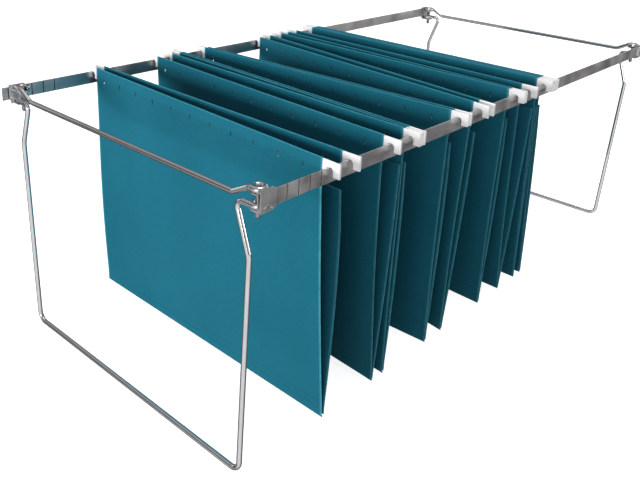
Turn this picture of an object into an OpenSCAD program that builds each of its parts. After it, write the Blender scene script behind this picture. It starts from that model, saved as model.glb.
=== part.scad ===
// Hanging file rack: a wire-and-strip frame that stands in a file drawer and carries
// letter-size hanging folders on its two side rails.
// Row frame: origin on the ground at the middle of the footprint, +X from the front end to
// the rear end along the rails, +Y towards the left rail, +Z up. Millimetres.

/* [Rails] */
// Length of each side rail
rail_len = 672; // [660:1:690]
// Height of the rail strip
rail_h = 11.5; // [10:0.5:12]
// Thickness of the rail strip
rail_t = 1.2; // [1:0.1:1.4]
// Distance between the two rails, centre to centre
rail_gap = 311; // [311:0.5:313]
// Height of the rail centre line above the ground
rail_z = 229.3; // [226:0.1:240]
// How far each rail sits off the middle: left rail forwards, right rail rearwards
rail_stagger = 7.9; // [0:0.1:8]
// Distance from a rail's front end to its first break-off score line
score_first = 5.6; // [4:0.1:20]
// Pitch of the break-off score lines
score_pitch = 11.5; // [10:0.1:13]
// Number of break-off score lines at the front end of a rail
score_count = 5; // [0:1:8]
// Depth of a score line in each face
score_depth = 0.3; // [0.1:0.05:0.35]

/* [Wire ends] */
// Diameter of the crossbar and leg wire
wire_d = 4.4; // [4:0.1:4.4]
// Distance from the middle of the rack to a crossbar's wire
end_x = 333; // [326:0.2:333]
// Mean radius of the eye at each wire end
eye_r = 4.3; // [4.2:0.05:4.4]
// Sideways distance from the middle to an eye's centre
eye_y = 147.1; // [145.5:0.1:147.1]
// Height of the crossbar's long straight part, from the rail centre line
bar_drop = -2.4; // [-3:0.1:2]
// Sideways distance from the middle to the crossbar's lower bend
bar_bend_y = 127.5; // [124:0.5:128]
// Sideways distance to the leg frame's upper bend
leg_bend_y = 130.7; // [126:0.1:132]
// Sideways distance to the leg frame's knee
knee_y = 144.4; // [142:0.1:149]
// Depth of the knee below the rail centre line
knee_drop = 44.7; // [38:0.1:60]
// Half width of the leg frame at the floor
foot_y = 139.3; // [136:0.1:152]
// How far the foot stands out beyond the crossbar, less than zero if it leans in
foot_out = -0.9; // [-4:0.1:12]

/* [Corner clips] */
// Thickness of the clip's sheet metal
clip_t = 1.1; // [0.9:0.1:1.2]
// Length of the clip from the pin towards the rack's end
clip_out = 8; // [7.4:0.1:8]
// Length of the clip from the pin towards the rack's middle
clip_in = 6.2; // [4.5:0.1:12]
// Height of the upper lug's top face above the rail centre line
lug_top = 3.3; // [2:0.1:3.6]
// Gap between the rail's bottom edge and the clip's lower lug
lug_gap = 2.6; // [1.5:0.05:3]
// Running clearance of the rail in the clip
slide_gap = 0.08; // [0.05:0.01:0.1]
// Diameter of the corner pin
pin_d = 3.9; // [3.4:0.1:4]
// How far the pin stands below the clip's lower lug
pin_tip = 6.6; // [2:0.1:8]

/* [Folders] */
// Width of a folder's paper
paper_w = 297; // [290:1:298]
// Height above the rail centre line that the rods' and tips' top edges are set down from
folder_top = 11.7; // [11.2:0.1:12.5]
// Depth of a folder's bottom fold below the rail centre line
folder_drop = 221.1; // [200:0.1:224]
// Thickness of a paper panel
paper_t = 0.6; // [0.5:0.05:0.7]
// Thickness of the steel rod strip in a folder's top edge
rod_t = 1.0; // [0.8:0.1:1.1]
// Height of the rod strip
rod_h = 8; // [6:0.5:8.2]
// Thickness of the coated hook tip
tip_t = 1.6; // [1.4:0.1:1.7]
// Length of the coated hook tip
tip_len = 16.2; // [14:0.2:18]
// Width of the hook's arched opening over the rail
arch_w = 7; // [5:0.5:7.4]

/* [Folder places] */
// Folder 1, places along X: front rod left, right; back rod left, right; fold left, right
folder_1 = [-249.3, -267.1, -240.7, -245.0, -245.2, -247.0];
// Folder 2: same order
folder_2 = [-175.6, -195.1, -156.3, -169.3, -163.5, -180.0];
// Folder 3: same order
folder_3 = [-146.1, -165.9, -142.4, -162.3, -144.4, -164.2];
// Folder 4: same order
folder_4 = [-111.7, -98.0, -107.3, -93.2, -110.3, -96.6];
// Folder 5: same order
folder_5 = [-25.6, -62.2, -8.5, -52.2, -22.5, -68.5];
// Folder 6: same order
folder_6 = [9.6, 4.1, 21.9, 8.3, 13.5, 3.2];
// Folder 7: same order
folder_7 = [36.9, 29.9, 66.0, 62.4, 51.4, 45.5];
// Folder 8: same order
folder_8 = [69.0, 65.6, 72.1, 68.8, 84.6, 81.4];
// Folder 9: same order
folder_9 = [75.1, 72.1, 78.2, 75.3, 98.2, 96.5];

/* [Hidden] */

// Signs of X at the two ends and of Y at the two sides
front = -1;
rear = 1;
left = 1;
right = -1;

steel = "gainsboro";
zinc = "darkgray";
teal = [0.11, 0.44, 0.55];

// Heights named from here on are from the rail centre line
rail_y = rail_gap / 2;
rail_top = rail_h / 2;
top_gap = 0.1;                         // over the rail, to the clip's fold and the hooks' arches
wire_r = wire_d / 2;
eye_x = end_x - eye_r;                 // eye and pin centre
pin_inset = rail_y - eye_y;            // pin's distance inside the rail's centre plane
lug_low = -rail_top - lug_gap;         // top face of the lower lug
eye_gap = 0.05;                        // between a lug and the eye on it
bar_z = lug_top + eye_gap + wire_r;    // eye of the crossbar, on the upper lug
leg_z = lug_low + eye_gap + wire_r;    // eye of the leg frame, on the lower lug

rod_z0 = folder_top - 1.7 - rod_h;     // bottom of the rod strip
tip_start = paper_w / 2 + 0.3;         // where the coating starts, sideways from the middle
tongue_len = 2.5;                      // of the rod's tongue inside a hook tip
tongue_step = 1;                       // from the rod's edges in to the tongue's edges
tongue_gap = 0.02;                     // clearance between the tongue and its slot

function unit(v) = v / norm(v);

// Matrix that puts a part's axes along x, y and z, with its origin at the point given
function frame(x, y, z, origin) = [
  [x[0], y[0], z[0], origin[0]],
  [x[1], y[1], z[1], origin[1]],
  [x[2], y[2], z[2], origin[2]],
  [0, 0, 0, 1]
];

// Any direction square to the one given
function square_to(dir) =
  abs(dir[0]) < 0.9 ? unit(cross([1, 0, 0], dir)) : unit(cross([0, 1, 0], dir));

// Length that the bend at point i takes off each side of its corner
function bend_cut(path, radii, i) = i == 0 || i == len(path) - 1 ? 0 :
  radii[i] * tan(acos(unit(path[i] - path[i - 1]) * unit(path[i + 1] - path[i])) / 2);

// Round wire along the path, with a bend of radius radii[i] at point i. The straight lengths
// are a hair thinner and run a little way into the bends and eyes, so that no faces coincide.
module bent_wire(path, radii) {
  overlap = 0.3;
  for (i = [0 : len(path) - 2]) {
    dir = unit(path[i + 1] - path[i]);
    start = path[i] + dir * (bend_cut(path, radii, i) - overlap);
    end = path[i + 1] - dir * (bend_cut(path, radii, i + 1) - overlap);
    x = square_to(dir);
    multmatrix(frame(x, cross(dir, x), dir, start))
      cylinder(r = wire_r - 0.02, h = norm(end - start), $fn = 32);
  }
  for (i = [1 : len(path) - 2]) {
    dir_in = unit(path[i] - path[i - 1]);
    dir_out = unit(path[i + 1] - path[i]);
    inward = unit(dir_out - (dir_out * dir_in) * dir_in);
    centre = path[i] - dir_in * bend_cut(path, radii, i) + inward * radii[i];
    multmatrix(frame(-inward, dir_in, cross(-inward, dir_in), centre))
      rotate_extrude(angle = acos(dir_in * dir_out), $fn = 72)
        translate([radii[i], 0]) circle(r = wire_r, $fn = 32);
  }
}

// Open eye of wire about the centre, from the start point where the wire runs along dir
module wire_eye(centre, start, dir) {
  x = unit(start - centre);
  multmatrix(frame(x, dir, cross(x, dir), centre))
    rotate_extrude(angle = 262, $fn = 72)
      translate([eye_r, 0]) circle(r = wire_r, $fn = 32);
}

// Wire with an eye at both ends, given by the path and bend radii of its left half, which
// start at the eye
module end_wire(end, half_path, half_radii) {
  back = [len(half_path) - 1 : -1 : 0];
  path = concat(half_path, [for (i = back) let (p = half_path[i]) [p[0], -p[1], p[2]]]);
  radii = concat(half_radii, [for (i = back) half_radii[i]]);
  eye_z = half_path[0][2];
  translate([0, 0, rail_z]) {
    bent_wire(path, radii);
    for (side = [right, left])
      wire_eye(
        centre = [end * eye_x, side * eye_y, eye_z],
        start = [end * end_x, side * eye_y, eye_z],
        dir = [0, side, 0]);
  }
}

module crossbar(end) {
  x = end * end_x;
  slope_y = 15;  // sideways run of the slope from the lower bend up to the eye's height
  color(steel) end_wire(
    end,
    [[x, eye_y, bar_z], [x, bar_bend_y + slope_y, bar_z], [x, bar_bend_y, bar_drop]],
    [0, 7, 7]);
}

module leg_frame(end) {
  x = end * end_x;
  foot_z = wire_r - rail_z;
  // the knee lies on the straight lean from the eye's height to the foot
  knee_out = foot_out * (knee_drop + leg_z) / (leg_z - foot_z);
  color(steel) end_wire(
    end,
    [
      [x, eye_y, leg_z],
      [x, leg_bend_y, leg_z],
      [x + end * knee_out, knee_y, -knee_drop],
      [x + end * foot_out, foot_y, foot_z]
    ],
    [0, 5, 12, 9]);
}

// Side rail: flat strip with break-off score lines across both faces near its front end
module rail(side) {
  score_w = 1.1;
  color(zinc) translate([-side * rail_stagger, side * rail_y, rail_z]) difference() {
    cube([rail_len, rail_t, rail_h], center = true);
    for (k = [1 : 1 : score_count], face = [-1, 1])
      translate([-rail_len / 2 + score_first + (k - 1) * score_pitch, face * rail_t / 2, 0])
        cube([score_w, 2 * score_depth, rail_h + 1], center = true);
  }
}

// Places its child at one corner of the rack. The child's origin is on the rail's centre line
// at the pin, with +X towards the rack's end and +Y outwards.
module corner(end, side) {
  translate([end * eye_x, side * rail_y, rail_z])
    mirror([end < 0 ? 1 : 0, 0, 0])
      mirror([0, side < 0 ? 1 : 0, 0])
        children();
}

// Corner clip: a folded channel wraps the rail, its inner plate runs further down, and two
// lugs on the inner plate hold the pin, each with a wire's eye resting on it.
module clip(end, side) {
  plate_y = rail_t / 2 + slide_gap;        // rail-side face of the plates
  outside_y = plate_y + clip_t;
  top_fold = rail_top + top_gap;           // underside of the fold above the rail
  low_fold = -rail_top - slide_gap - clip_t;  // underside of the fold below the rail
  length = clip_in + clip_out;
  lug_r = 5.6;
  color(zinc) corner(end, side) difference() {
    union() {
      // outer plate
      translate([-clip_in, plate_y, low_fold])
        cube([length, clip_t, top_fold + clip_t - low_fold]);
      // inner plate
      translate([-clip_in, -outside_y, lug_low - clip_t])
        cube([length, clip_t, top_fold + 2 * clip_t - lug_low]);
      for (z = [low_fold, top_fold])
        translate([-clip_in, -outside_y, z]) cube([length, 2 * outside_y, clip_t]);
      for (z = [lug_top - clip_t, lug_low - clip_t])
        translate([0, 0, z]) linear_extrude(clip_t) {
          translate([-lug_r, -pin_inset]) square([2 * lug_r, pin_inset - plate_y]);
          translate([0, -pin_inset]) circle(r = lug_r, $fn = 64);
        }
    }
    // pin holes through both lugs
    translate([0, -pin_inset, lug_low - 2 * clip_t])
      cylinder(r = pin_d / 2 + 0.03, h = 40, $fn = 64);
    // arched opening in the lower edge of the outer plate and the fold beside it
    translate([1.6, 0.1, low_fold - 0.2])
      rotate([-90, 0, 0]) cylinder(r = 4.8, h = 6, $fn = 64);
  }
}

// Corner pin through the crossbar's eye, the clip's lugs and the leg frame's eye
module pin(end, side) {
  r = pin_d / 2;
  low_cone = 1;
  top_cone = 0.4;
  bottom = lug_low - clip_t - pin_tip;
  height = bar_z + wire_r - 1.2 - bottom;  // ends a little below the top of the crossbar's eye
  color(steel) corner(end, side) translate([0, -pin_inset, 0]) translate([0, 0, bottom]) {
    cylinder(r1 = r - 0.8, r2 = r, h = low_cone, $fn = 48);
    translate([0, 0, low_cone]) cylinder(r = r, h = height - low_cone - top_cone, $fn = 48);
    translate([0, 0, height - top_cone]) cylinder(r1 = r, r2 = r - 0.4, h = top_cone, $fn = 48);
  }
}

// Outline of a sheet across its width at one y, from the x of its two top edges and its fold
function sheet_section(front_x, back_x, fold_x, y) =
  let (top = rail_z + rod_z0 - 0.4, bottom = rail_z - folder_drop, half_t = paper_t / 2) [
    [front_x - half_t, y, top],
    [front_x + half_t, y, top],
    [fold_x, y, bottom + 1.6],
    [back_x - half_t, y, top],
    [back_x + half_t, y, top],
    [fold_x + paper_t, y, bottom],
    [fold_x - paper_t, y, bottom]
  ];

// Sheet of a folder: two paper panels that meet in the bottom fold
module sheet(place) {
  // share of the rail gap by which each edge of the paper is set in along the rods
  inset = (rail_y - paper_w / 2) / (2 * rail_y);
  front_run = inset * (place[1] - place[0]);
  back_run = inset * (place[3] - place[2]);
  points = concat(
    sheet_section(place[0] + front_run, place[2] + back_run, place[4], paper_w / 2),
    sheet_section(place[1] - front_run, place[3] - back_run, place[5], -paper_w / 2));
  // both faces of a panel share the diagonal from the fold's left end to the rod's right end
  sides = [for (i = [0 : 6]) let (j = (i + 1) % 7)
    each i == 1 || i == 4
      ? [[i, j, i + 7], [j, j + 7, i + 7]]
      : [[i, j, j + 7], [i, j + 7, i + 7]]];
  ends = [
    [6, 2, 1, 0], [6, 5, 2], [5, 4, 3, 2],
    [7, 8, 9, 13], [9, 12, 13], [9, 10, 11, 12]
  ];
  color(teal) polyhedron(points = points, faces = concat(ends, sides), convexity = 4);
}

// Turn about Z of a rod that runs from left_x at the left rail to right_x at the right rail
function rod_angle(left_x, right_x) = atan2(right_x - left_x, 2 * rail_y);

// Length along a rod for each unit of sideways distance
function rod_stretch(left_x, right_x) = 1 / cos(rod_angle(left_x, right_x));

// Puts its child in the frame of a rod, with +Y along the rod to the left
module along_rod(left_x, right_x) {
  translate([(left_x + right_x) / 2, 0, rail_z])
    rotate([0, 0, rod_angle(left_x, right_x)])
      children();
}

// Steel rod strip, with a tongue at each end that the hook tip covers
module rod(left_x, right_x) {
  stretch = rod_stretch(left_x, right_x);
  half_len = tip_start * stretch;
  tongue_end = (tip_start + tongue_len) * stretch;
  color("silver") along_rod(left_x, right_x) {
    translate([-rod_t / 2, -half_len, rod_z0]) cube([rod_t, 2 * half_len, rod_h]);
    translate([-rod_t / 2 + tongue_gap, -tongue_end, rod_z0 + tongue_step])
      cube([rod_t - 2 * tongue_gap, 2 * tongue_end, rod_h - 2 * tongue_step]);
  }
}

// Pair of coated hook tips: flat plates with an arched opening that hangs on the rail's top edge
module tips(left_x, right_x) {
  stretch = rod_stretch(left_x, right_x);
  start = tip_start * stretch;
  rail_at = rail_y * stretch;
  tip_h = 11.2;
  bottom = folder_top - 1.5 - tip_h;
  arch_z = rail_top + top_gap - arch_w / 2;  // centre of the arch
  bar_w = 1.6;
  color("white") along_rod(left_x, right_x)
    for (side = [right, left]) mirror([0, side < 0 ? 1 : 0, 0]) difference() {
      translate([-tip_t / 2, start + tongue_gap, bottom]) cube([tip_t, tip_len, tip_h]);
      // arched opening
      translate([-tip_t, rail_at - arch_w / 2, bottom - 1])
        cube([2 * tip_t, arch_w, arch_z - bottom + 1]);
      translate([-tip_t, rail_at, arch_z])
        rotate([0, 90, 0]) cylinder(r = arch_w / 2, h = 2 * tip_t, $fn = 64);
      // slot for the rod's tongue
      translate([-rod_t / 2, 0, rod_z0 + tongue_step - tongue_gap])
        cube([
          rod_t,
          (tip_start + tongue_len) * stretch + tongue_gap,
          rod_h - 2 * (tongue_step - tongue_gap)
        ]);
      // square bar on edge, which only touches the top face at the tip's outer end
      translate([-tip_t, start + tip_len, bottom + tip_h])
        rotate([45, 0, 0]) cube([2 * tip_t, bar_w, bar_w]);
    }
}

module front_rod(place) rod(place[0], place[1]);
module back_rod(place) rod(place[2], place[3]);
module front_tips(place) tips(place[0], place[1]);
module back_tips(place) tips(place[2], place[3]);

rail(left);  // rail_left
rail(right);  // rail_right
clip(front, left);  // clip_front_left
clip(front, right);  // clip_front_right
clip(rear, left);  // clip_rear_left
clip(rear, right);  // clip_rear_right
pin(front, left);  // pin_front_left
pin(front, right);  // pin_front_right
pin(rear, left);  // pin_rear_left
pin(rear, right);  // pin_rear_right
crossbar(front);  // crossbar_front
crossbar(rear);  // crossbar_rear
leg_frame(front);  // leg_frame_front
leg_frame(rear);  // leg_frame_rear
sheet(folder_1);  // folder_1_sheet
front_rod(folder_1);  // folder_1_front_rod
back_rod(folder_1);  // folder_1_back_rod
front_tips(folder_1);  // folder_1_front_tips
back_tips(folder_1);  // folder_1_back_tips
sheet(folder_2);  // folder_2_sheet
front_rod(folder_2);  // folder_2_front_rod
back_rod(folder_2);  // folder_2_back_rod
front_tips(folder_2);  // folder_2_front_tips
back_tips(folder_2);  // folder_2_back_tips
sheet(folder_3);  // folder_3_sheet
front_rod(folder_3);  // folder_3_front_rod
back_rod(folder_3);  // folder_3_back_rod
front_tips(folder_3);  // folder_3_front_tips
back_tips(folder_3);  // folder_3_back_tips
sheet(folder_4);  // folder_4_sheet
front_rod(folder_4);  // folder_4_front_rod
back_rod(folder_4);  // folder_4_back_rod
front_tips(folder_4);  // folder_4_front_tips
back_tips(folder_4);  // folder_4_back_tips
sheet(folder_5);  // folder_5_sheet
front_rod(folder_5);  // folder_5_front_rod
back_rod(folder_5);  // folder_5_back_rod
front_tips(folder_5);  // folder_5_front_tips
back_tips(folder_5);  // folder_5_back_tips
sheet(folder_6);  // folder_6_sheet
front_rod(folder_6);  // folder_6_front_rod
back_rod(folder_6);  // folder_6_back_rod
front_tips(folder_6);  // folder_6_front_tips
back_tips(folder_6);  // folder_6_back_tips
sheet(folder_7);  // folder_7_sheet
front_rod(folder_7);  // folder_7_front_rod
back_rod(folder_7);  // folder_7_back_rod
front_tips(folder_7);  // folder_7_front_tips
back_tips(folder_7);  // folder_7_back_tips
sheet(folder_8);  // folder_8_sheet
front_rod(folder_8);  // folder_8_front_rod
back_rod(folder_8);  // folder_8_back_rod
front_tips(folder_8);  // folder_8_front_tips
back_tips(folder_8);  // folder_8_back_tips
sheet(folder_9);  // folder_9_sheet
front_rod(folder_9);  // folder_9_front_rod
back_rod(folder_9);  // folder_9_back_rod
front_tips(folder_9);  // folder_9_front_tips
back_tips(folder_9);  // folder_9_back_tips
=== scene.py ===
import math

import bpy
import bmesh
import numpy as np
from mathutils import Matrix, Vector

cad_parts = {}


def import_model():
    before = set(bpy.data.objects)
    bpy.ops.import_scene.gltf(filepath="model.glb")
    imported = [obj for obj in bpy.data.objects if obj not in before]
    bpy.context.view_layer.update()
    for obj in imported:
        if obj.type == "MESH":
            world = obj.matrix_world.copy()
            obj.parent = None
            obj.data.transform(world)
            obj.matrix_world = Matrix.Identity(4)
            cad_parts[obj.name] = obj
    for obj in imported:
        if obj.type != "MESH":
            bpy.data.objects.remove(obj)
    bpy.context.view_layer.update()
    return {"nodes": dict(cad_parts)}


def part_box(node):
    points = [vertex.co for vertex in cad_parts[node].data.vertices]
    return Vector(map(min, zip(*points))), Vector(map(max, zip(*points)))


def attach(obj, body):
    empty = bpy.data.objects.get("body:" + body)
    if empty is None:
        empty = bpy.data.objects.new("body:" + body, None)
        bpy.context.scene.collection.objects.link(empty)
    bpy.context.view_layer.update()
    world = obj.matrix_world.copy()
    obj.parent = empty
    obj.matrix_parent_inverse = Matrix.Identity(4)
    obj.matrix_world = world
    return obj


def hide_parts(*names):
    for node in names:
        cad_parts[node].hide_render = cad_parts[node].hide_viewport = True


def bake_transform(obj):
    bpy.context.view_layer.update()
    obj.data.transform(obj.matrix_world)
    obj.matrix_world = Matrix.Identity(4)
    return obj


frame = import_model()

NODES = frame["nodes"]
MM = 0.001


# ---------------------------------------------------------------- node helpers

def material(name):
    m = bpy.data.materials.new(name)
    m.use_nodes = True
    nt = m.node_tree
    nt.nodes.clear()
    out = nt.nodes.new("ShaderNodeOutputMaterial")
    b = nt.nodes.new("ShaderNodeBsdfPrincipled")
    nt.links.new(b.outputs["BSDF"], out.inputs["Surface"])
    return m, nt, b


def node(nt, kind, **values):
    n = nt.nodes.new(kind)
    for k, v in values.items():
        if k in n.inputs:
            n.inputs[k].default_value = v
        else:
            setattr(n, k, v)
    return n


def coords(nt, scale=(1, 1, 1)):
    g = nt.nodes.new("ShaderNodeNewGeometry")
    mp = nt.nodes.new("ShaderNodeMapping")
    mp.inputs["Scale"].default_value = scale
    nt.links.new(g.outputs["Position"], mp.inputs["Vector"])
    return mp.outputs["Vector"]


def noise(nt, vec, scale, detail=3.0, rough=0.5):
    n = node(nt, "ShaderNodeTexNoise", Scale=scale, Detail=detail, Roughness=rough)
    nt.links.new(vec, n.inputs["Vector"])
    return n.outputs["Fac"]


def ramp(nt, fac, stops):
    r = nt.nodes.new("ShaderNodeValToRGB")
    el = r.color_ramp.elements
    while len(el) < len(stops):
        el.new(0.5)
    for e, (p, c) in zip(el, stops):
        e.position = p
        e.color = (*c, 1) if len(c) == 3 else c
    nt.links.new(fac, r.inputs["Fac"])
    return r.outputs["Color"]


def maprange(nt, fac, lo, hi, to0, to1):
    m = node(nt, "ShaderNodeMapRange")
    m.inputs["From Min"].default_value = lo
    m.inputs["From Max"].default_value = hi
    m.inputs["To Min"].default_value = to0
    m.inputs["To Max"].default_value = to1
    nt.links.new(fac, m.inputs["Value"])
    return m.outputs["Result"]


def mix(nt, fac, a, b, mode="MIX"):
    m = nt.nodes.new("ShaderNodeMix")
    m.data_type = "RGBA"
    m.blend_type = mode
    for sock, v in ((m.inputs[0], fac), (m.inputs[6], a), (m.inputs[7], b)):
        if isinstance(v, (int, float)):
            sock.default_value = v
        elif isinstance(v, tuple):
            sock.default_value = (*v, 1) if len(v) == 3 else v
        else:
            nt.links.new(v, sock)
    return m.outputs[2]


def math_node(nt, op, a, b=0.0):
    m = nt.nodes.new("ShaderNodeMath")
    m.operation = op
    for sock, v in zip(m.inputs, (a, b)):
        if isinstance(v, (int, float)):
            sock.default_value = v
        else:
            nt.links.new(v, sock)
    return m.outputs[0]


def bump(nt, b, height, strength, distance, normal=None):
    n = node(nt, "ShaderNodeBump", Strength=strength, Distance=distance)
    nt.links.new(height, n.inputs["Height"])
    if normal is not None:
        nt.links.new(normal, n.inputs["Normal"])
    nt.links.new(n.outputs["Normal"], b.inputs["Normal"])
    return n.outputs["Normal"]


# ---------------------------------------------------------------- materials

def paper_material():
    m, nt, b = material("folder_paper")
    v = coords(nt)
    fibre = noise(nt, coords(nt, (1.0, 1.0, 0.35)), 2600, 4, 0.6)
    felt = noise(nt, v, 420, 4, 0.6)
    cloud = noise(nt, v, 9, 3, 0.5)
    base = ramp(nt, cloud, [(0.3, (0.0105, 0.134, 0.196)), (0.7, (0.0140, 0.158, 0.226))])
    flecks = maprange(nt, fibre, 0.35, 0.7, 0.88, 1.12)
    felted = maprange(nt, felt, 0.3, 0.7, 0.93, 1.07)
    tone = math_node(nt, "MULTIPLY", flecks, felted)
    comb = nt.nodes.new("ShaderNodeCombineColor")
    for s in ("Red", "Green", "Blue"):
        nt.links.new(tone, comb.inputs[s])
    col = mix(nt, 1.0, base, comb.outputs["Color"], "MULTIPLY")
    # a per-vertex attribute lightens the teal: real wear on the folds, plus a painted highlight on the folds' crests
    # and along each panel's side edges
    wear_and_painted_highlight = nt.nodes.new("ShaderNodeAttribute")
    wear_and_painted_highlight.attribute_name = "wear_and_painted_highlight"
    wear_and_highlight_mix = math_node(nt, "MULTIPLY", wear_and_painted_highlight.outputs["Fac"], maprange(nt, noise(nt, v, 160, 4, 0.6), 0.35, 0.65, 0.55, 1.0))
    wear_and_highlight_mix = math_node(nt, "MINIMUM", math_node(nt, "MULTIPLY", wear_and_highlight_mix, 0.6), 1.0)
    # mix in the lighter teal of the worn folds and of the painted highlight
    col = mix(nt, wear_and_highlight_mix, col, (0.08, 0.41, 0.52))
    nt.links.new(col, b.inputs["Base Color"])
    nt.links.new(maprange(nt, felt, 0.2, 0.8, 0.56, 0.72), b.inputs["Roughness"])
    b.inputs["Specular IOR Level"].default_value = 0.16
    b.inputs["Sheen Weight"].default_value = 0.03
    b.inputs["Sheen Roughness"].default_value = 0.5
    b.inputs["Sheen Tint"].default_value = (0.35, 0.75, 0.9, 1)
    h = math_node(nt, "ADD", math_node(nt, "MULTIPLY", fibre, 0.6), felt)
    bump(nt, b, h, 0.25, 0.00012)
    return m


def paper_edge_material():
    m, nt, b = material("folder_paper_cut_edge")
    f = noise(nt, coords(nt, (1, 1, 1)), 1800, 3, 0.6)
    nt.links.new(ramp(nt, f, [(0.3, (0.10, 0.33, 0.42)), (0.75, (0.26, 0.52, 0.60))]), b.inputs["Base Color"])
    b.inputs["Roughness"].default_value = 0.85
    bump(nt, b, f, 0.4, 0.0001)
    return m


def slot_lip_material():
    m, nt, b = material("slot_lip")
    f = noise(nt, coords(nt), 1500, 3, 0.6)
    nt.links.new(ramp(nt, f, [(0.3, (0.09, 0.38, 0.46)), (0.75, (0.24, 0.56, 0.64))]), b.inputs["Base Color"])
    b.inputs["Roughness"].default_value = 0.7
    bump(nt, b, f, 0.3, 0.0001)
    return m


def chrome_material():
    m, nt, b = material("bright_wire")
    v = coords(nt)
    cloud = noise(nt, v, 60, 4, 0.6)
    fine = noise(nt, v, 900, 3, 0.6)
    nt.links.new(ramp(nt, cloud, [(0.3, (0.80, 0.80, 0.81)), (0.7, (0.92, 0.925, 0.94))]), b.inputs["Base Color"])
    b.inputs["Metallic"].default_value = 1.0
    nt.links.new(maprange(nt, fine, 0.3, 0.75, 0.05, 0.13), b.inputs["Roughness"])
    bump(nt, b, math_node(nt, "ADD", cloud, math_node(nt, "MULTIPLY", fine, 0.3)), 0.06, 0.0004)
    return m


def zinc_material(name, lo, hi, grain, rough=(0.26, 0.42)):
    """Zinc-plated strip: drawn grain along the piece, cloudy plating, darker in dents."""
    m, nt, b = material(name)
    v = coords(nt)
    lines = noise(nt, coords(nt, grain), 1500, 4, 0.6)
    cloud = noise(nt, v, 45, 4, 0.55)
    spangle = node(nt, "ShaderNodeTexVoronoi", Scale=420.0)
    nt.links.new(v, spangle.inputs["Vector"])
    tone = math_node(nt, "ADD", math_node(nt, "MULTIPLY", lines, 0.45), math_node(nt, "MULTIPLY", cloud, 0.55))
    nt.links.new(ramp(nt, tone, [(0.34, lo), (0.66, hi)]), b.inputs["Base Color"])
    b.inputs["Metallic"].default_value = 1.0
    r = math_node(nt, "ADD", maprange(nt, cloud, 0.3, 0.7, rough[0], rough[1]),
                  math_node(nt, "MULTIPLY", spangle.outputs["Distance"], 0.03))
    nt.links.new(r, b.inputs["Roughness"])
    bump(nt, b, lines, 0.12, 0.0002)
    return m


def coating_material():
    m, nt, b = material("white_tip_coating_painted_glow")
    v = coords(nt)
    f = noise(nt, v, 300, 3, 0.5)
    g = noise(nt, v, 60, 3, 0.5)
    nt.links.new(ramp(nt, g, [(0.3, (0.93, 0.93, 0.92)), (0.7, (0.98, 0.98, 0.97))]), b.inputs["Base Color"])
    nt.links.new(maprange(nt, f, 0.3, 0.7, 0.30, 0.45), b.inputs["Roughness"])
    b.inputs["Coat Weight"].default_value = 0.15
    # painted glow: a faint white emission brightens the tips beyond what the lamps give
    b.inputs["Emission Color"].default_value = (1, 1, 1, 1)
    b.inputs["Emission Strength"].default_value = 0.12
    b.inputs["Subsurface Weight"].default_value = 0.05
    b.inputs["Subsurface Radius"].default_value = (0.001, 0.001, 0.001)
    bump(nt, b, f, 0.08, 0.0003)
    return m


PAPER = paper_material()
EDGE = paper_edge_material()
LIP = slot_lip_material()
WIRE = chrome_material()
RAIL = zinc_material("rail_zinc", (0.56, 0.54, 0.54), (0.80, 0.78, 0.78), (0.02, 1, 1), (0.30, 0.46))
CLIP = zinc_material("clip_zinc", (0.66, 0.65, 0.66), (0.90, 0.89, 0.895), (1, 1, 0.1), (0.34, 0.48))
PIN = zinc_material("pin_steel", (0.20, 0.20, 0.205), (0.42, 0.42, 0.43), (1, 1, 0.05), (0.22, 0.36))
ROD = zinc_material("rod_steel", (0.50, 0.50, 0.51), (0.68, 0.68, 0.69), (1, 0.02, 1))
TIP = coating_material()


def score_shade_material():
    """Painted shade: a dull, dark colour on the bottom of a sheared score line, standing in for the shade inside the
    groove.
    """
    m, nt, b = material("rail_score_painted_shade")
    f = noise(nt, coords(nt), 900, 3, 0.6)
    nt.links.new(ramp(nt, f, [(0.3, (0.028, 0.024, 0.022)), (0.7, (0.075, 0.065, 0.062))]), b.inputs["Base Color"])
    b.inputs["Metallic"].default_value = 0.3
    b.inputs["Roughness"].default_value = 0.7
    bump(nt, b, f, 0.3, 0.0001)
    return m


SCORE_SHADE = score_shade_material()


# ---------------------------------------------------------------- carried-over CAD nodes

def dress(name, mat, width=None, segments=2):
    o = NODES[name]
    o.data.materials.clear()
    o.data.materials.append(mat)
    for p in o.data.polygons:
        p.material_index = 0
    if width:
        w = o.modifiers.new("weld", "WELD")
        w.merge_threshold = 2e-6
        bv = o.modifiers.new("edges", "BEVEL")
        bv.width = width
        bv.segments = segments
        bv.limit_method = "ANGLE"
        bv.angle_limit = math.radians(38)
        bv.use_clamp_overlap = True
        wn = o.modifiers.new("normals", "WEIGHTED_NORMAL")
        wn.keep_sharp = False
        wn.weight = 60


for side in ("left", "right"):
    dress(f"rail_{side}", RAIL, 0.08 * MM)
    rail = NODES[f"rail_{side}"]
    rail.data.materials.append(SCORE_SHADE)
    half = max(abs(v.co.y) for v in rail.data.vertices)
    for p in rail.data.polygons:
        # the score lines' bottoms face sideways, deeper than the strip's two faces; they get the painted groove shade
        depth = min(half - abs(p.center.y), abs(p.center.y) - (half - 1.2 * MM))
        if abs(p.normal.y) > 0.9 and depth > 0.1 * MM:
            p.material_index = 1
for end in ("front", "rear"):
    dress(f"crossbar_{end}", WIRE)
    dress(f"leg_frame_{end}", WIRE)
    for side in ("left", "right"):
        dress(f"clip_{end}_{side}", CLIP, 0.25 * MM)
        dress(f"pin_{end}_{side}", PIN)
for k in range(1, 10):
    for s in ("front", "back"):
        dress(f"folder_{k}_{s}_rod", ROD)
        dress(f"folder_{k}_{s}_tips", TIP, 0.28 * MM)


# ---------------------------------------------------------------- paper folders

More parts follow.
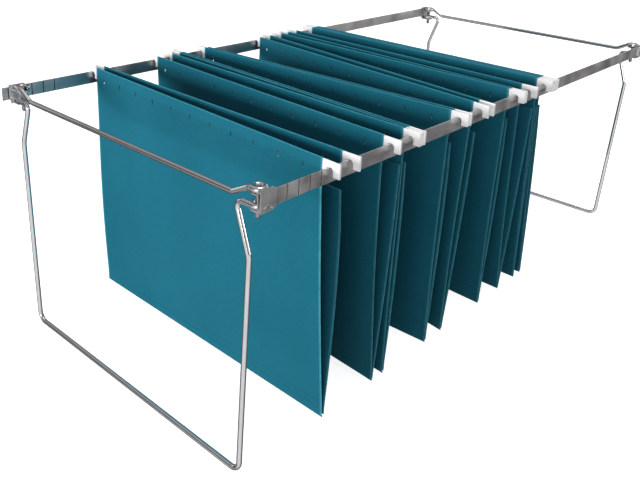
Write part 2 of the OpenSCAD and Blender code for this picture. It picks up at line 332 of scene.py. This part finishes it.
FLARE = {1: 3.4, 2: 0.4, 3: 2.6, 4: 2.6, 5: 2.2, 6: 2.0, 7: 0.3, 8: 0.3, 9: 2.6}  # mm, by folder
SLOT_PITCH = 26.6 * MM
SLOT_SHIFT = 2.5 * MM
SLOT_HALF = 0.65 * MM
PAPER_T = 0.26 * MM


def corners(k):
    """Corner points of folder k's solid: rods' and fold's x at the left and right ends, and the heights."""
    co = np.array([v.co for v in NODES[f"folder_{k}_sheet"].data.vertices], float)
    z0, z1 = co[:, 2].min(), co[:, 2].max()
    got = {}
    for s, pick in (("left", co[:, 1] > 0), ("right", co[:, 1] < 0)):
        e = co[pick]
        top = np.unique(np.round(e[np.abs(e[:, 2] - z1) < 1e-5][:, 0], 6))
        low = e[np.abs(e[:, 2] - z0) < 1e-5][:, 0]
        got[s] = (top[:2].mean(), top[-2:].mean(), low.mean())
    w = co[:, 1].max()
    return got, w, z0, z1


def columns(w):
    """Where the columns of the sheet's grid stand across its width, and which of them bound a slot."""
    ys = list(np.linspace(-w, w, 45))
    slots = []
    for i in range(-5, 6):
        c = SLOT_SHIFT + i * SLOT_PITCH
        slots.append(c)
        ys = [y for y in ys if abs(y - c) > 2.2 * SLOT_HALF] + [c - SLOT_HALF, c + SLOT_HALF]
    for c in (w - 14 * MM, -w + 14 * MM):
        ys = [y for y in ys if abs(y - c) > 1.6 * MM or y in (w, -w)] + [c]
    # extra columns near the side edges hold the painted edge highlight
    for d in (0.8 * MM, 2.4 * MM):
        ys += [w - d, d - w]
    return np.array(sorted(ys)), slots


def panel(k, which):
    """One paper panel of folder k with the sleeve over its rod and the glued flap inside.
    The front panel has the bottom fold too."""
    got, w, z0, z1 = corners(k)
    i = 0 if which == "front" else 1
    side = -1 if which == "front" else 1
    rod_lo, rod_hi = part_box(f"folder_{k}_{which}_rod")
    zr0, zr1 = rod_lo.z, rod_hi.z
    ys, slots = columns(w)
    rng = np.random.RandomState(40 + 2 * k + i)
    spread = abs(np.mean([got["left"][1] - got["left"][0], got["right"][1] - got["right"][0]]))
    bow = (0.6 + min(2.4, 0.14 * spread / MM)) * MM
    if k >= 8:
        bow = 0.8 * MM

    # rows: (height, offset from the rod's middle plane towards the outside, fold wear and painted highlight)
    h = PAPER_T / 2
    r_in = 0.5 * MM + 0.02 * MM + h
    zs_lo, zs_hi = zr0 - 4.6 * MM, zr0 + 0.6 * MM
    zn_lo, zn_hi = zr0 - 23 * MM, zr0 - 3.6 * MM
    rows = []
    if which == "front":
        # the bottom fold gets some real wear and a painted highlight
        for a in np.linspace(0, math.pi, 9):
            rows.append((z0 + 0.45 * MM - 0.40 * MM * math.sin(a), -0.42 * MM * math.cos(a), 0.35))
        rows.insert(0, (z0 + 1.5 * MM, -0.45 * MM, 0.1))
        start = z0 + 1.5 * MM
    else:
        start = z0 + 1.5 * MM
    body = list(np.linspace(start, zn_lo, 40))
    for zc in (z0 + 6.5 * MM, z0 + 13 * MM):
        body += [zc - 0.5 * MM, zc, zc + 0.5 * MM]
    body += list(np.linspace(zn_lo, zs_lo, 6))[1:]
    ease = lambda t: t * t * (3 - 2 * t)

    def face(z):
        """The panel lies flush with the sleeve at the top and comes in behind the rod lower down."""
        return 0.16 * MM + (r_in - 0.16 * MM) * ease(min(1.0, max(0.0, (z - zs_lo) / (42 * MM) + 1)))

    for z in sorted(set(round(z, 7) for z in body)):
        groove = -0.14 * MM if min(abs(z - z0 - 6.5 * MM), abs(z - z0 - 13 * MM)) < 0.1 * MM else 0.0
        rows.append((z, 0.45 * MM * max(0.0, 1 - (z - z0) / (12 * MM)) + face(z) + groove, 0.0))
    for z in sorted([*np.linspace(zs_lo, zr0, 5)[1:], zn_hi]):
        rows.append((z, r_in, 0.0))
    rows.append((zs_hi, r_in, 0.0))
    rows += [(z, r_in, 0.0) for z in np.linspace(zs_hi, zr1 - 0.1 * MM, 4)[1:]]
    n_up = len(rows)
    # the sleeve's top fold: real wear plus a painted highlight, strongest at the crest
    for a in np.linspace(0, math.pi, 9)[1:-1]:
        rows.append((zr1 - 0.1 * MM + 0.65 * MM * math.sin(a), r_in * math.cos(a), math.sin(a) * 0.9))
    rows += [(z, -r_in, 0.0) for z in np.linspace(zr1 - 0.1 * MM, zs_hi, 4)]
    flap = 0.30 * MM  # the glued flap lies against the panel's inner face
    for z in np.linspace(zr0, zs_lo, 5):
        rows.append((z, -r_in + (face(zs_lo) - flap + r_in) * ease((zr0 - z) / (zr0 - zs_lo)), 0.0))
    for z in np.linspace(zs_lo, zr0 - 15 * MM, 5)[1:]:
        rows.append((z, face(z) - flap, 0.0))

    zt = zr0
    phases = rng.uniform(0, 2 * math.pi, 6)
    V, wear_and_painted_highlight = [], []
    for ri, (z, off, fold_wear_and_highlight) in enumerate(rows):
        t = min(1.0, max(0.0, (zt - z) / (zt - z0)))
        for y in ys:
            f = (y + w) / (2 * w)
            xt = got["right"][i] * (1 - f) + got["left"][i] * f
            xc = got["right"][2] * (1 - f) + got["left"][2] * f
            x = xt * (1 - t) + xc * t
            fade = math.sin(math.pi * t)
            x += side * bow * fade * (0.75 + 0.25 * math.cos(2.1 * (f - 0.5)))
            x += fade * 0.5 * MM * (math.sin(7.5 * f + phases[0]) * math.sin(3.0 * t + phases[1])
                                    + 0.5 * math.sin(15 * f + phases[2] + 4 * t))
            x += (1 - t) ** 8 * 0.10 * MM * math.sin(22 * f + phases[3])
            if which == "back":
                edge = max(0.0, 1 - (w - abs(y)) / (24 * MM))
                lower = min(1.0, max(0.0, (zn_lo + 2 * MM - z) / (30 * MM)))
                x += FLARE[k] * MM * edge ** 2 * lower * (0.35 + 0.65 * fade)
            V.append((x + side * off, y, z))
            # a painted highlight along both side edges of every panel, fading out 2.4 mm in from the edge
            wear_and_painted_highlight.append(max(fold_wear_and_highlight, 1.6 * max(0.0, 1 - (w - abs(y)) / (2.4 * MM))))
    nr, nc = len(rows), len(ys)
    F = []
    for r in range(nr - 1):
        za, zb = rows[r][0], rows[r + 1][0]
        lo, hi = min(za, zb), max(za, zb)
        in_slot = lo >= zs_lo - 1e-6 and hi <= zs_hi + 1e-6
        in_notch = which == "back" and lo >= zn_lo - 1e-6 and hi <= zn_hi + 1e-6
        for c in range(nc - 1):
            ym = (ys[c] + ys[c + 1]) / 2
            if in_slot and any(abs(ym - s) < SLOT_HALF for s in slots):
                continue
            if in_notch and abs(ym) > w - 14 * MM:
                continue
            a = r * nc + c
            q = (a, a + 1, a + nc + 1, a + nc)
            F.append(q if side < 0 else q[::-1])
    used = sorted({v for f in F for v in f})
    back = {v: n for n, v in enumerate(used)}
    name = f"folder_{k}_{which}_paper"
    me = bpy.data.meshes.new(name)
    me.from_pydata([V[v] for v in used], [], [tuple(back[v] for v in f) for f in F])
    at = me.attributes.new("wear_and_painted_highlight", "FLOAT", "POINT")
    at.data.foreach_set("value", [float(wear_and_painted_highlight[v]) for v in used])
    me.materials.append(PAPER)
    me.materials.append(EDGE)
    o = bpy.data.objects.new(name, me)
    bpy.context.scene.collection.objects.link(o)
    for p in me.polygons:
        p.use_smooth = True
    bm = bmesh.new()
    bm.from_mesh(me)
    for e in bm.edges:
        if e.is_boundary:
            e.smooth = False
    bm.to_mesh(me)
    bm.free()
    so = o.modifiers.new("thickness", "SOLIDIFY")
    so.thickness = PAPER_T
    so.offset = 0
    so.use_rim = True
    so.material_offset_rim = 1
    return o, got, (zs_lo, zs_hi), slots, r_in, (z0, zr0)


def lips(k, which, got, zs, slots, w_off):
    """Pale lifted lips at the lower ends of the tab slots, one narrow curled strip per slot."""
    i = 0 if which == "front" else 1
    side = -1 if which == "front" else 1
    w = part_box(f"folder_{k}_sheet")[1].y
    bm = bmesh.new()
    for s in slots:
        f = (s + w) / (2 * w)
        x = got["right"][i] * (1 - f) + got["left"][i] * f
        z_a, z_b = zs[0] + 0.2 * MM, zs[0] + 3.2 * MM
        pts = []
        for n, t in enumerate(np.linspace(0, 1, 7)):
            z = z_a + (z_b - z_a) * t
            lift = 0.55 * MM * math.sin(math.pi * min(1, t * 1.1)) * (1 - 0.3 * t)
            half = SLOT_HALF * (0.95 - 0.35 * t)
            row = []
            for dy, dx in ((-half, 0.10 * MM), (half, 0.10 * MM), (half, -0.10 * MM), (-half, -0.10 * MM)):
                row.append(bm.verts.new((x - side * lift + dx, s + dy, z)))
            pts.append(row)
        for a, b in zip(pts, pts[1:]):
            for j in range(4):
                bm.faces.new((a[j], a[(j + 1) % 4], b[(j + 1) % 4], b[j]))
        bm.faces.new(pts[0][::-1])
        bm.faces.new(pts[-1])
    bmesh.ops.recalc_face_normals(bm, faces=bm.faces)
    name = f"folder_{k}_{which}_slot_lips"
    me = bpy.data.meshes.new(name)
    bm.to_mesh(me)
    bm.free()
    me.materials.append(LIP)
    o = bpy.data.objects.new(name, me)
    bpy.context.scene.collection.objects.link(o)
    return o


for k in range(1, 10):
    for which in ("front", "back"):
        o, got, zs, slots, r_in, (z0, zr0) = panel(k, which)
        body = f"folder_{k}" if which == "front" else f"folder_{k}_back"
        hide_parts(f"folder_{k}_sheet")
        if which == "front":
            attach(o, body)
        else:
            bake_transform(o)
        lp = lips(k, which, got, zs, slots, r_in)
        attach(lp, body)


# ---------------------------------------------------------------- stage, light and camera

def floor():
    me = bpy.data.meshes.new("floor")
    s = 60.0
    me.from_pydata([(-s, -s, 0), (s, -s, 0), (s, s, 0), (-s, s, 0)], [], [(0, 1, 2, 3)])
    o = bpy.data.objects.new("floor", me)
    bpy.context.scene.collection.objects.link(o)
    m, nt, b = material("floor_pale")
    b.inputs["Base Color"].default_value = (0.80, 0.80, 0.80, 1)
    b.inputs["Roughness"].default_value = 0.9
    b.inputs["Specular IOR Level"].default_value = 0.0
    em = node(nt, "ShaderNodeEmission", Strength=0.80)
    em.inputs["Color"].default_value = (1, 1, 1, 1)
    lp = nt.nodes.new("ShaderNodeLightPath")
    add = nt.nodes.new("ShaderNodeAddShader")
    mx = nt.nodes.new("ShaderNodeMixShader")
    dull = node(nt, "ShaderNodeBsdfDiffuse", Roughness=0.5)
    dull.inputs["Color"].default_value = (0.13, 0.13, 0.132, 1)
    out = [n for n in nt.nodes if n.type == "OUTPUT_MATERIAL"][0]
    nt.links.new(b.outputs["BSDF"], add.inputs[0])
    nt.links.new(em.outputs["Emission"], add.inputs[1])
    # painted reflection: glossy rays see the floor as an emission that is light from one direction and dark from the
    # other, which bright metal mirrors as a light and a dark side of the table
    geo = nt.nodes.new("ShaderNodeNewGeometry")
    dot = node(nt, "ShaderNodeVectorMath", operation="DOT_PRODUCT")
    nt.links.new(geo.outputs["Incoming"], dot.inputs[0])
    dot.inputs[1].default_value = (0.819, 0.574, 0.0)
    painted_reflection = node(nt, "ShaderNodeEmission", Strength=1.0)
    nt.links.new(ramp(nt, maprange(nt, dot.outputs["Value"], -1, 1, 0, 1), [
        (0.0, (0.04, 0.04, 0.04)), (0.38, (0.07, 0.07, 0.072)), (0.55, (0.24, 0.24, 0.245)), (0.78, (0.74, 0.74, 0.75))]),
        painted_reflection.inputs["Color"])
    other = nt.nodes.new("ShaderNodeMixShader")
    nt.links.new(lp.outputs["Is Glossy Ray"], other.inputs["Fac"])
    nt.links.new(dull.outputs["BSDF"], other.inputs[1])
    nt.links.new(painted_reflection.outputs["Emission"], other.inputs[2])
    nt.links.new(lp.outputs["Is Camera Ray"], mx.inputs["Fac"])
    nt.links.new(other.outputs["Shader"], mx.inputs[1])
    nt.links.new(add.outputs["Shader"], mx.inputs[2])
    nt.links.new(mx.outputs["Shader"], out.inputs["Surface"])
    me.materials.append(m)


def world():
    w = bpy.data.worlds.new("studio")
    bpy.context.scene.world = w
    w.use_nodes = True
    nt = w.node_tree
    nt.nodes.clear()
    out = nt.nodes.new("ShaderNodeOutputWorld")
    bg = node(nt, "ShaderNodeBackground", Strength=1.0)
    tc = nt.nodes.new("ShaderNodeTexCoord")
    sep = nt.nodes.new("ShaderNodeSeparateXYZ")
    nt.links.new(tc.outputs["Generated"], sep.inputs["Vector"])
    # dark surroundings with a few bright panels all round, which bright metal reflects as stripes
    sky = ramp(nt, maprange(nt, sep.outputs["Z"], -1, 1, 0, 1), [
        (0.0, (0.10, 0.10, 0.105)), (0.47, (0.05, 0.05, 0.052)), (0.56, (0.03, 0.03, 0.032)),
        (0.70, (0.14, 0.14, 0.145)), (0.85, (0.32, 0.32, 0.325)), (1.0, (0.40, 0.40, 0.41))])
    turn = math_node(nt, "ARCTAN2", sep.outputs["Y"], sep.outputs["X"])
    wave = math_node(nt, "SINE", math_node(nt, "ADD", math_node(nt, "MULTIPLY", turn, 4.0), 0.9))
    panels = maprange(nt, wave, -0.15, 0.20, 0.0, 1.0)
    low = maprange(nt, math_node(nt, "ABSOLUTE", sep.outputs["Z"]), 0.25, 0.55, 1.0, 0.0)
    lit = mix(nt, math_node(nt, "MULTIPLY", panels, low), sky, (0.66, 0.66, 0.67))
    lp = nt.nodes.new("ShaderNodeLightPath")
    soft = ramp(nt, maprange(nt, sep.outputs["Z"], -1, 1, 0, 1), [
        (0.0, (0.10, 0.10, 0.10)), (0.5, (0.06, 0.06, 0.062)), (1.0, (0.62, 0.62, 0.625))])
    lit = mix(nt, lp.outputs["Is Diffuse Ray"], lit, soft)
    nt.links.new(mix(nt, lp.outputs["Is Camera Ray"], lit, (1.0, 1.0, 1.0)), bg.inputs["Color"])
    nt.links.new(bg.outputs["Background"], out.inputs["Surface"])


def area(name, loc, target, size, power, color=(1, 1, 1)):
    l = bpy.data.lights.new(name, "AREA")
    l.shape = "RECTANGLE"
    l.size, l.size_y = size
    l.energy = power
    l.color = color
    o = bpy.data.objects.new(name, l)
    bpy.context.scene.collection.objects.link(o)
    o.location = loc
    o.rotation_mode = "QUATERNION"
    o.rotation_quaternion = (Vector(target) - Vector(loc)).to_track_quat("-Z", "Y")
    return o


floor()
world()
key = area("key", (-1.9, 0.6, 0.42), (-0.2, 0.0, 0.10), (1.2, 0.6), 31)
area("side", (-2.3, -1.05, 0.5), (0.0, 0.0, 0.12), (1.3, 0.7), 12.5)
area("rim", (1.6, -2.1, 0.6), (0.0, 0.0, 0.16), (1.5, 0.9), 15)
area("top", (0.2, -0.2, 2.7), (0.0, 0.0, 0.2), (2.0, 1.2), 12)
back = area("back", (2.4, 1.0, 0.7), (0.0, 0.0, 0.12), (1.4, 0.8), 14)
for lamp in (key, back):
    lamp.visible_glossy = False  # the wires mirror the surroundings, not these two

cam = bpy.data.cameras.new("camera")
cam.sensor_fit = "HORIZONTAL"
cam.sensor_width = 36
cam.lens = 762.2911 / 640 * 36
cam.clip_start, cam.clip_end = 0.01, 50
co = bpy.data.objects.new("camera", cam)
bpy.context.scene.collection.objects.link(co)
yaw, pitch, roll = 0.7511610250978663, -0.3459208081069971, 0.037733526889685266
d = Vector((math.cos(pitch) * math.cos(yaw), math.cos(pitch) * math.sin(yaw), math.sin(pitch)))
right = d.cross(Vector((0, 0, 1))).normalized()
up = right.cross(d)
r = math.cos(roll) * right + math.sin(roll) * up
u = -math.sin(roll) * right + math.cos(roll) * up
m = Matrix(((r.x, u.x, -d.x), (r.y, u.y, -d.y), (r.z, u.z, -d.z))).to_4x4()
m.translation = Vector((-0.6513807, -0.4571492, 0.2010181 + 0.2293))
co.matrix_world = m


place = bpy.data.objects.new("camera_place", None)
bpy.context.scene.collection.objects.link(place)
place.location = m.translation


def lens_shift(prop, value):
    """The picture is a crop that is off its lens's axis, so the camera has a lens shift. The shift
    holds at this camera position only: a view from any other place is centred on the object."""
    fc = cam.driver_add(prop)
    while fc.modifiers:
        fc.modifiers.remove(fc.modifiers[0])
    fc.driver.type = "SUM"
    var = fc.driver.variables.new()
    var.type = "LOC_DIFF"
    var.targets[0].id = co
    var.targets[1].id = place
    for at, v in ((0.0, value), (0.05, 0.0)):
        fc.keyframe_points.insert(at, v).interpolation = "CONSTANT"
    fc.extrapolation = "CONSTANT"


lens_shift("shift_x", 49.43768 / 640)
lens_shift("shift_y", -107.07508 / 640)
bpy.context.scene.camera = co
bpy.context.scene.view_settings.view_transform = "Standard"
